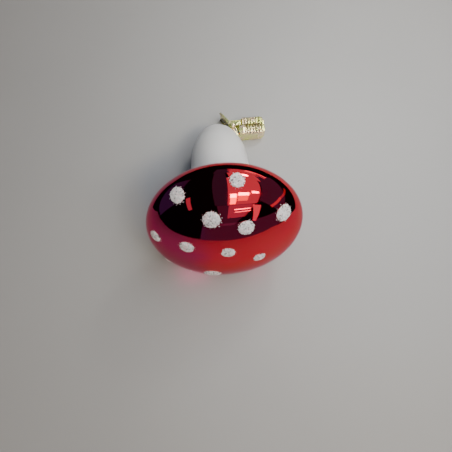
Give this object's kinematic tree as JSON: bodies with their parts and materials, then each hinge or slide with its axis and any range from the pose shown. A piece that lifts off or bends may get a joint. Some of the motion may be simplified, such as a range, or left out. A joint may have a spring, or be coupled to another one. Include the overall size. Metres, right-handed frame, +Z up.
{
  "type": "clip-on glass mushroom ornament",
  "caption": "Blown-glass fly agaric tree ornament with a mirror-red cap, raised glitter spots, a white stem and a sprung metal clip under its foot, lying on its side.",
  "frame": {"origin": "bottom centre of the bounding box, on the surface that the ornament lies on", "axes": "+Z up; the crown of the cap points to -Y and 22.5 degrees up, the stem to +Y and down; the clip's jaws point to +X and open towards +Y about a pin along Z"},
  "size_m": [0.05, 0.066, 0.0478],
  "materials": {
    "red_mirror_glass": "silvered inside and lacquered transparent red, high gloss",
    "white_lacquered_glass": "satin white lacquer on blown glass",
    "glitter": "coarse white glitter set in clear lacquer",
    "pale_brass": "thin stamped sheet with a pale gold wash",
    "bright_steel": "bright drawn wire and pins",
    "plaster": "matt set plaster"
  },
  "bodies": {
    "ornament": {"cap": "red_mirror_glass", "stem": "white_lacquered_glass", "spot_01": "glitter", "spot_02": "glitter", "spot_03": "glitter", "spot_04": "glitter", "spot_05": "glitter", "spot_06": "glitter", "spot_07": "glitter", "spot_08": "glitter", "spot_09": "glitter", "spot_10": "glitter", "spot_11": "glitter", "spot_12": "glitter", "spot_13": "glitter", "spot_14": "glitter", "spot_15": "glitter", "spot_16": "glitter", "clip_base": "pale_brass", "hinge_pin": "pale_brass", "clip_spring": "bright_steel", "clip_stud": "bright_steel", "foot_plug": "plaster"},
    "jaw": {"clip_jaw": "pale_brass"}
  },
  "joints": [
    {"name": "jaw_hinge", "type": "hinge", "parent": "ornament", "child": "jaw", "pos_m": [0.0064, 0.02709, 0.0031], "axis": [0, 0, 1], "range_deg": [0, 28], "stiffness_Nm_per_rad": 0.015, "springref_deg": -45.84, "deforming": ["clip_spring"]}
  ]
}
